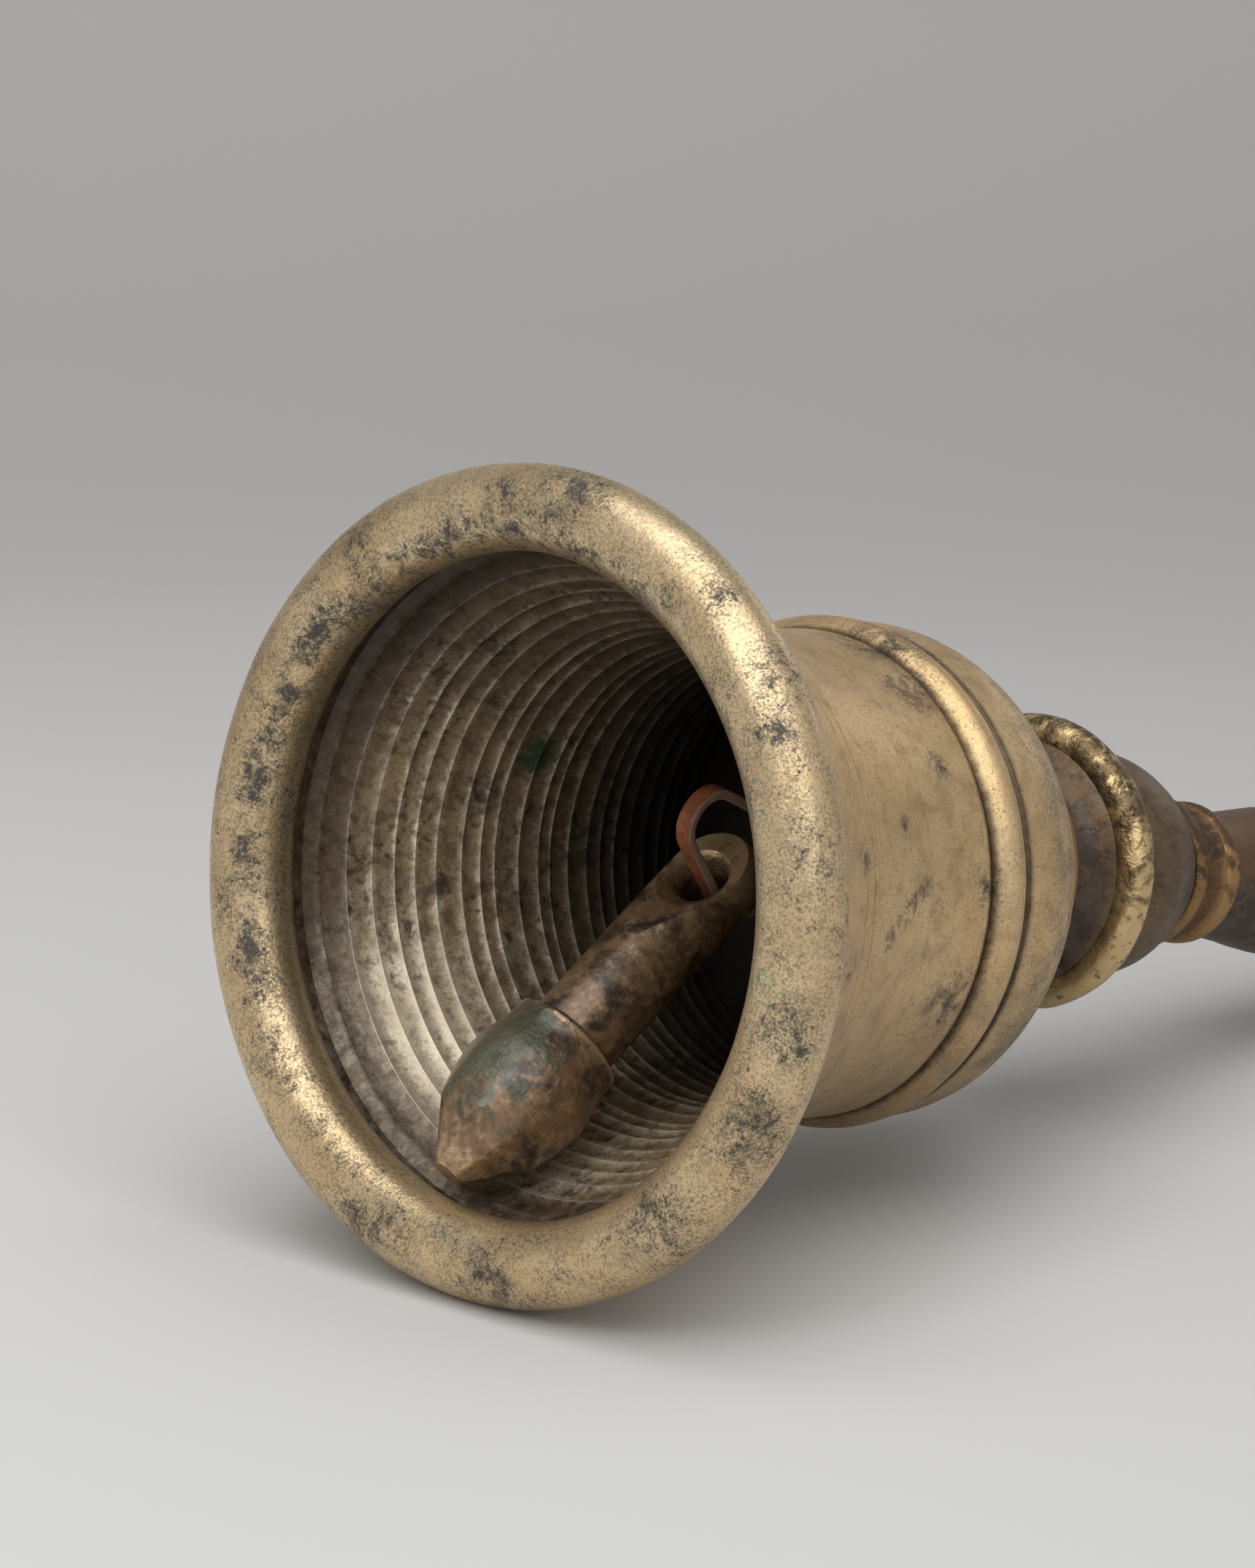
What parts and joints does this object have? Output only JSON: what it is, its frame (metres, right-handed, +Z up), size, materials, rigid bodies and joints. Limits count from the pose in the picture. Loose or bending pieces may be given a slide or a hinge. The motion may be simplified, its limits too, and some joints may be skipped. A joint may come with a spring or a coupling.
{
  "type": "sanctus bell",
  "caption": "Cast bronze hand bell with a rolled lip, beaded shoulder, turned handle on an iron tang and a clapper hung on a leather thong.",
  "frame": {"origin": "middle of the bounding box, on the surface the bell lies on", "axes": "+X along the bell from its mouth to the end of its handle, +Z up, the bell lying on its lip and its end knop"},
  "size_m": [0.2224, 0.0998, 0.0989],
  "materials": {
    "cast_bronze": "worn satin patina",
    "worn_bronze": "worn satin over dark patina",
    "polished_bronze": "hand polished",
    "dark_bronze": "dark patina",
    "clapper_bronze": "dark patina with worn edges",
    "wrought_iron": "dark forged",
    "tan_leather": "dry worn"
  },
  "bodies": {
    "bell": {"bell_shell": "cast_bronze", "handle_tang": "wrought_iron", "crown_washer": "wrought_iron", "base_ring": "worn_bronze", "neck_cove": "dark_bronze", "collar_ring": "polished_bronze", "domed_knop": "dark_bronze", "knop_ring": "worn_bronze", "stem_cove": "dark_bronze", "stem_ring": "worn_bronze", "grip": "dark_bronze", "grip_ring": "worn_bronze", "end_knop": "dark_bronze", "end_washer": "worn_bronze"},
    "thong": {"thong": "tan_leather"},
    "clapper": {"clapper": "clapper_bronze"}
  },
  "joints": [
    {"name": "thong_swing", "type": "hinge", "parent": "bell", "child": "thong", "pos_m": [-0.04359, 0, 0.04126], "axis": [0.0284, 0.9806, 0.1939], "range_deg": [0, 45]},
    {"name": "clapper_swing", "type": "hinge", "parent": "thong", "child": "clapper", "pos_m": [-0.06486, 0.00037, 0.04249], "axis": [0.0284, 0.9806, 0.1939], "range_deg": [0, 22]}
  ]
}
